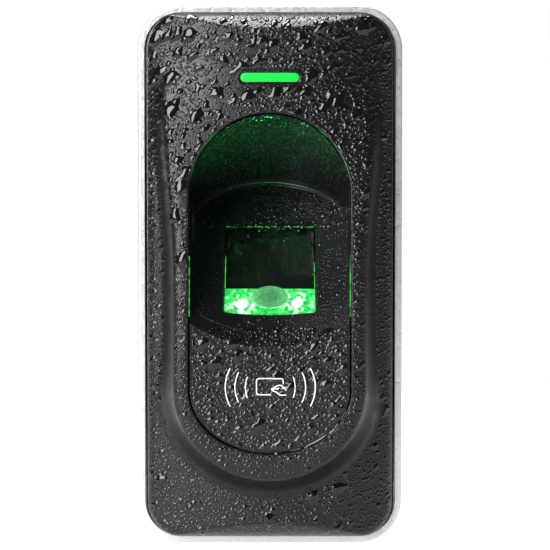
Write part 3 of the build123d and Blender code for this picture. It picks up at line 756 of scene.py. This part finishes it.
def creaseFillet(spec):
    # the two surfaces' soft maximum, a strip each side of the line on which they meet, its edges tucked under
    b, h = bedShape, hollowShape
    x = np.linspace(-h["half"] + spec["endGap"], h["half"] - spec["endGap"], spec["across"])[None, :]
    fall, slope = h["roofFall"], math.tan(b["angle"])
    rise = (b["trough"] - np.sqrt(b["trough"] ** 2 - x ** 2)) / math.cos(b["angle"])
    arch = openingShape["archZ"] + np.sqrt(h["half"] ** 2 - x * x)
    meet = (b["height"] + rise + slope * b["z"] - h["roofHeight"] + arch / fall) / (slope + 1 / fall)
    z = meet + np.linspace(-spec["halfWide"], spec["halfWide"], spec["along"])[:, None]
    bed = b["height"] - slope * (z - b["z"]) + rise
    roof = h["roofHeight"] + (z - arch) / fall
    height = (bed + roof + np.sqrt((bed - roof) ** 2 + spec["softness"] ** 2)) / 2
    height[[0, -1]] -= spec["tuck"]
    return np.stack([x + 0 * z, height, z], -1)


filletPoints = creaseFillet(fillet)
creaseBlack = mouldedPlastic("creaseBlack", (0.01, 0.01, 0.011), 0.3, mist=0.1, specular=0.5)
meshPiece("creaseFillet", filletPoints, gridFaces(*filletPoints.shape[:2]), creaseBlack, slot="tray_black")
print("crease fillet")

# water

# three sizes of drop, each on its own leaning lattice: its pitch, the smallest and largest radius, how much
# longer than wide the drops are, and their lean in degrees
dropSizes = {
    "big": {"pitch": 2.7, "small": 0.55, "large": 1.35, "stretch": 1.5, "lean": 52, "seed": 21},
    "middle": {"pitch": 1.3, "small": 0.25, "large": 0.66, "stretch": 1.3, "lean": 50, "seed": 22},
    "fine": {"pitch": 0.66, "small": 0.17, "large": 0.38, "stretch": 1.15, "lean": 45, "seed": 23},
}
rain = {
    "pitch": 0.13,  # of the grid that the water's surface is made on
    "halfWide": 23.4,
    "halfTall": 49.5,
    "bands": 5,
    "thickest": 0.7,
    "swell": 0.6,  # drop field at which it is about two thirds of that
    "steepest": 1.7,  # skin steeper than this lets go of drops
}


def dropField(x, z, amount, drops):
    # distance-like field of scattered drops, positive inside: one drop in each cell of a leaning, stretched
    # lattice, moved about and sized at random, kept where a random number is below the amount there.
    # Each drop is half its radius times one minus the squared share of the way out.
    rng = np.random.default_rng(drops["seed"])
    table = rng.random((4, 256, 256))
    pitch, lean = drops["pitch"], math.radians(drops["lean"])
    cosA, sinA = math.cos(lean), math.sin(lean)
    u, v = (x * cosA + z * sinA) / drops["stretch"], -x * sinA + z * cosA
    i0, j0 = np.floor(u / pitch).astype(int), np.floor(v / pitch).astype(int)
    nothing = -9.0
    best = np.full_like(x, nothing)
    for di in (-1, 0, 1):
        for dj in (-1, 0, 1):
            i, j = i0 + di, j0 + dj
            shiftU, shiftV, size, keep = (layer[i % 256, j % 256] for layer in table)
            radius = drops["small"] + (drops["large"] - drops["small"]) * size ** 1.8
            du, dv = u - (i + 0.15 + 0.7 * shiftU) * pitch, v - (j + 0.15 + 0.7 * shiftV) * pitch
            drop = np.where(keep < amount, radius / 2 * (1 - (du * du + dv * dv) / radius ** 2), nothing)
            best = np.maximum(best, drop)
    return best


def softUnion(first, second, softness):
    # the larger of two fields, with the valley between them filled a little
    return (first + second + np.sqrt((first - second) ** 2 + softness * softness)) / 2 - softness / 2


def waterField(x, z):
    # the soft union of three sizes of drop, the larger ones pulled out of round by noise. Drops are heaviest at
    # the upper left of the face and on the lobe, sparse in the hollow but for its roof's edge and the brow above
    # the window, and none lie on the smooth slope round the nose, the light, the glow, the pane or the joint.
    opening = openingDistance(x, z)
    face, hollow = opening > 0, (opening <= 0) & (z > -9)
    upperLeft = smoothStep(-30, 6, -x * 0.9 + (z - 22) * 0.55)
    upper = smoothStep(6, 26, z)
    bend = 0.42 * valueNoise(x, z, 1.5, 11) + 0.14 * valueNoise(x, z, 0.6, 12)
    sway = 0.42 * valueNoise(x, z, 1.5, 13) + 0.14 * valueNoise(x, z, 0.6, 14)
    bigAmount = np.where(face, 0.1 + 0.75 * upper * upperLeft + 0.2 * upper, 0.55)
    bigAmount = np.where(hollow, 0.0, bigAmount)
    big = dropField(x + bend, z + sway, bigAmount, dropSizes["big"])
    arch = smoothStep(-9, -1, opening) * smoothStep(12, 17, z)
    brow = smoothStep(8.6, 9.6, z) * (1 - smoothStep(12.5, 14.5, z))
    middleAmount = np.where(face, 0.3 + 0.45 * upperLeft, 0.85)
    middleAmount = np.where(hollow, 0.06 + 0.4 * brow, middleAmount)
    middle = dropField(x + 0.4 * bend, z + 0.4 * sway, middleAmount, dropSizes["middle"])
    fineAmount = np.where(face, 0.92, 0.95)
    fineAmount = np.where(hollow, 0.1 + 0.75 * arch + 0.55 * brow, fineAmount)
    fine = dropField(x, z, fineAmount, dropSizes["fine"])
    field = softUnion(softUnion(big, middle, 0.12), fine, 0.04)
    slope = plateauDistance(x, z)
    smoothZone = face & (z < 8) & (slope > -0.5) & (slope < np.where(z < -24, 4.4, 1.6))
    f = faceShape
    edge = -roundedRectDistance(x, z, f["halfWide"], f["halfTall"], f["cornerRadius"])
    slot = roundedRectDistance(x, z - statusLight["z"], 6.4, 1.6, 1.55)
    glow = (np.abs(x) < windowPane["halfWide"] + 0.4) & (z < -1.6) & (z > -7.4)
    clearPane = (np.abs(x) < windowPane["halfWide"] - 0.9) & (z < 6.2) & (z > -7.4)
    joint = np.abs(opening + 0.1) < 0.5
    dry = smoothZone | (edge < 0.5) | (slot < 0.1) | glow | clearPane | joint
    return np.where(dry, np.minimum(field, -0.05), field)


def skinHeight(x, z):
    # what the water lies on: the face, and the tray inside its opening
    return np.where(openingDistance(x, z) > -0.12, faceHeight(x, z), insideHeight(x, z))


def wetSurface(x, z):
    # the water's surface: the skin below it, pushed out along its normal by the thickness, which climbs
    # steeply from the drop's edge and levels off like one minus a falling exponential; steep skin lets go of it
    step = 0.05
    height = skinHeight(x, z)
    slopeX = (skinHeight(x + step, z) - skinHeight(x - step, z)) / (2 * step)
    slopeZ = (skinHeight(x, z + step) - skinHeight(x, z - step)) / (2 * step)
    length = np.sqrt(1 + slopeX ** 2 + slopeZ ** 2)
    steep = np.where(openingDistance(x, z) > 0, np.clip(length - rain["steepest"], 0, None), 0)
    field = waterField(x, z) - 0.3 * steep
    thick = np.where(field > 0, rain["thickest"] * (1 - np.exp(-field / rain["swell"])), field * 1.2)
    thick = np.clip(thick, -0.06, None)
    points = np.stack([x - slopeX / length * thick, height + thick / length, z - slopeZ / length * thick], -1)
    return points, field


# card symbol on the lobe: a card held by a hand, with three waves each side

symbol = {"centre": (0.1, -19.7), "stroke": 0.19, "lift": 0.05}
symbolWaves = [{"x": 8.15, "half": 3.45, "radius": 7.1}, {"x": 6.4, "half": 2.7, "radius": 5.9},
               {"x": 4.5, "half": 1.9, "radius": 5.2}]
cardLine = [(0.2, -21.05), (-2.1, -21.05), (-2.4, -20.75), (-2.4, -18.4), (-2.1, -18.1), (2.15, -18.1),
            (2.45, -18.4), (2.45, -19.1)]
handLines = [[(0.3, -20.05), (1.0, -19.6), (1.75, -19.3), (2.2, -19.4), (3.0, -20.2)],
             [(0.3, -20.05), (0.75, -20.4), (1.25, -20.6), (1.8, -21.1), (3.0, -21.1)],
             [(0.5, -20.0), (1.2, -19.95), (1.7, -19.9)]]


def strokeAlong(x, z):
    # a ribbon along a line of points on the lobe or on the water there, its edges turned down: each row is the
    # line moved sideways by a share of the stroke's width, at the wet surface's height plus the lift
    width, lift = symbol["stroke"], symbol["lift"]
    direction = np.gradient(np.stack([x, z], -1), axis=0)
    direction /= np.linalg.norm(direction, axis=1, keepdims=True)
    rows = []
    for offset, rise in ((-0.5, -0.02), (-0.5, lift * 0.7), (-0.3, lift), (0.3, lift), (0.5, lift * 0.7), (0.5, -0.02)):
        px, pz = x - direction[:, 1] * offset * width, z + direction[:, 0] * offset * width
        wet, field = wetSurface(px, pz)
        rows.append(np.stack([px, np.maximum(wet[..., 1], insideHeight(px, pz)) + rise, pz], -1))
    return np.array(rows)


def smoothLine(corners, count):
    # points along a broken line, evenly spaced, with its corners eased by three rounds of averaging
    corners = np.array(corners, float)
    length = np.concatenate([[0], np.cumsum(np.linalg.norm(np.diff(corners, axis=0), axis=1))])
    at = np.linspace(0, length[-1], count)
    x, z = np.interp(at, length, corners[:, 0]), np.interp(at, length, corners[:, 1])
    for step in range(3):
        x[1:-1] = (x[:-2] + 2 * x[1:-1] + x[2:]) / 4
        z[1:-1] = (z[:-2] + 2 * z[1:-1] + z[2:]) / 4
    return x, z


def symbolMaterial():
    # white printing ink: grey to white with fine noise, which also roughens it, with a faint white glow painted over it
    material, nodes, links, shader = nodeMaterial("symbolInkWithPaintedGlow")
    grain = noiseFrom(nodes, links, objectPoints(nodes), 2500, 3)
    links.new(tinted(nodes, links, grain, (0.62, 0.62, 0.62), (0.95, 0.95, 0.95)), shader.inputs["Base Color"])
    links.new(bumpFrom(nodes, links, grain, 0.01 * mm), shader.inputs["Normal"])
    # painted light: a faint white glow on the ink, which gives no light of its own
    shader.inputs["Emission Color"].default_value = (1, 1, 1, 1)
    shader.inputs["Emission Strength"].default_value = 0.12
    return material


symbolInkWithPaintedGlow = symbolMaterial()
for number, wave in enumerate(symbolWaves):
    for name, side in (("a", -1), ("b", 1)):
        reachAngle = math.asin(wave["half"] / wave["radius"])
        turn = np.linspace(-reachAngle, reachAngle, 30)
        x = symbol["centre"][0] + side * (wave["x"] - wave["radius"] * (1 - np.cos(turn)))
        z = symbol["centre"][1] + wave["radius"] * np.sin(turn)
        ribbon = strokeAlong(x, z)
        faces = gridFaces(*ribbon.shape[:2])
        meshPiece("symbolWave_%d%s" % (number + 1, name), ribbon, faces, symbolInkWithPaintedGlow, slot="tray_black")
for number, line in enumerate([cardLine] + handLines):
    ribbon = strokeAlong(*smoothLine(line, 90 if number == 0 else 36))
    meshPiece("symbolCard_%d" % number, ribbon, gridFaces(*ribbon.shape[:2]), symbolInkWithPaintedGlow, slot="tray_black")
print("card symbol")

# rain on everything in front

def waterMaterial():
    # water over black: mirror-smooth, with slow ripples from noise, too low to see but for the light they bend
    material, nodes, links, shader = nodeMaterial("rainWater")
    ripple = noiseFrom(nodes, links, objectPoints(nodes), 500, 2)
    links.new(bumpFrom(nodes, links, ripple, 0.02 * mm), shader.inputs["Normal"])
    links.new(ramp(nodes, links, ripple, 0.3, 0.7, 0.02, 0.07), shader.inputs["Roughness"])
    shader.inputs["Base Color"].default_value = (0.004, 0.004, 0.0045, 1)
    shader.inputs["IOR"].default_value = 1.45
    return material


rainWater = waterMaterial()
columnsX = np.arange(-rain["halfWide"], rain["halfWide"], rain["pitch"])
bands = np.array_split(np.arange(-rain["halfTall"], rain["halfTall"], rain["pitch"]), rain["bands"])
for number, band in enumerate(bands):
    gridX, gridZ = np.meshgrid(columnsX, np.append(band, band[-1] + rain["pitch"]))
    points, field = wetSurface(gridX, gridZ)
    faces = gridFaces(*gridX.shape)
    faces = faces[field.ravel()[faces].max(axis=1) > 0]
    used = np.unique(faces)
    renumber = np.zeros(gridX.size, int)
    renumber[used] = np.arange(len(used))
    meshPiece("rain_%d" % (number + 1), points.reshape(-1, 3)[used], renumber[faces], rainWater)
    print("rain", number + 1, len(faces), "faces")

jointWater = {"width": 0.95, "thick": 0.06, "from": math.radians(-24), "to": math.radians(74), "sink": 0.12}


def jointBead(spec):
    # a low bead of water lying along the foot of the lobe's joint, its section part of a circle; noise
    # along it swells and breaks it
    o = openingShape
    turn = np.linspace(spec["from"], spec["to"], 260)[None, :]
    offset = np.linspace(-1, 1, 9)[:, None]
    lumps = valueNoise(turn * 14, 0 * turn, 2.0, 31) + 0.5 * valueNoise(turn * 14, 0 * turn, 0.7, 32)
    ends = np.sin(np.pi * (turn - spec["from"]) / (spec["to"] - spec["from"])) ** 0.5
    swell = smoothStep(-0.5, 0.3, lumps) * ends
    reachOut = offset * spec["width"] / 2 * (0.4 + 0.6 * swell)
    x, z = (o["half"] + reachOut) * np.sin(turn), o["footZ"] - (o["footRise"] + reachOut) * np.cos(turn)
    inside, outside = insideHeight(x, z), faceHeight(x * 1.03, o["footZ"] + (z - o["footZ"]) * 1.04)
    base = inside + (offset + 1) / 2 * (outside - inside)
    height = base - spec["sink"] + (spec["thick"] + spec["sink"]) * swell * (1 - offset ** 2) ** 0.7
    return np.stack([x, height, z], -1)


beadPoints = jointBead(jointWater)
meshPiece("rain_joint", beadPoints, gridFaces(*beadPoints.shape[:2]), rainWater, flip=True)
print("water in the joint")

# floor, lights and camera

floorShape = {"halfWide": 0.6, "front": -0.5, "back": 0.3, "level": -0.0575}  # metres, clear of the turned-out screw
floorMaterial, nodes, links, shader = nodeMaterial("floorPale")
shader.inputs["Base Color"].default_value = (0.3, 0.3, 0.3, 1)
shader.inputs["Roughness"].default_value = 0.8
shader.inputs["Emission Color"].default_value = (1, 1, 1, 1)
shader.inputs["Emission Strength"].default_value = 0.85
floorMesh = bpy.data.meshes.new("floor")
floorMesh.from_pydata([(x, y, floorShape["level"]) for x, y in (
    (-floorShape["halfWide"], floorShape["front"]), (floorShape["halfWide"], floorShape["front"]),
    (floorShape["halfWide"], floorShape["back"]), (-floorShape["halfWide"], floorShape["back"]))], [], [(0, 1, 2, 3)])
floorMesh.materials.append(floorMaterial)
floor = bpy.data.objects.new("floor", floorMesh)
bpy.context.scene.collection.objects.link(floor)


def areaLight(name, place, aim, energy, colour, width, tall):
    # a soft panel at a place, turned to face what it lights
    data = bpy.data.lights.new(name, "AREA")
    data.energy = energy
    data.color = colour
    data.shape = "RECTANGLE"
    data.size = width
    data.size_y = tall
    light = bpy.data.objects.new(name, data)
    light.rotation_euler = (Vector(aim) - Vector(place)).to_track_quat("-Z", "Y").to_euler()
    light.location = place
    bpy.context.scene.collection.objects.link(light)
    return light


reader = (0, -0.03, 0)
areaLight("keyLeft", (-0.58, -0.76, 0.44), reader, 22.5, (0.97, 0.99, 1.0), 0.6, 0.9)
areaLight("topPanel", (-0.1, 0.2, 0.8), (0, -0.03, 0.05), 9, (1, 1, 1), 0.5, 0.36)
areaLight("fillRight", (0.6, -0.68, -0.2), reader, 1.2, (1.0, 0.94, 0.86), 0.34, 0.34)
areaLight("sideRight", (0.8, -0.12, 0.0), reader, 0.5, (1.0, 0.98, 0.95), 0.35, 0.8)
greenLamp = areaLight("hollowGreen", (0, -0.0325, 0.018), (0, -0.0305, 0.03), 0.0105, (0.03, 1.0, 0.2), 0.018, 0.002)
greenLamp.visible_camera = False
greenLamp.visible_transmission = False

# the world is white where it is seen and nearly dark as a light
world = bpy.data.worlds.new("studio")
bpy.context.scene.world = world
world.use_nodes = True
nodes, links = world.node_tree.nodes, world.node_tree.links
background = nodes["Background"]
background.inputs["Color"].default_value = (1, 1, 1, 1)
seen = nodes.new("ShaderNodeLightPath").outputs["Is Camera Ray"]
links.new(ramp(nodes, links, seen, 0.0, 1.0, 0.06, 1.0), background.inputs["Strength"])

cameraSet = {"distance": 302.5, "elevation": 2.0, "target": (0.95, -18.5, 0.02), "lens": 103.1}
cameraData = bpy.data.cameras.new("camera")
cameraData.lens = cameraSet["lens"]
cameraData.sensor_width = 36
camera = bpy.data.objects.new("camera", cameraData)
bpy.context.scene.collection.objects.link(camera)
up = math.radians(cameraSet["elevation"])
targetX, targetY, targetZ = (value * mm for value in cameraSet["target"])
reach = cameraSet["distance"] * mm
camera.location = (targetX, targetY - reach * math.cos(up), targetZ + reach * math.sin(up))
camera.rotation_euler = (math.pi / 2 - up, 0, 0)
bpy.context.scene.camera = camera
bpy.context.scene.view_settings.view_transform = "Standard"
print("lights and camera")
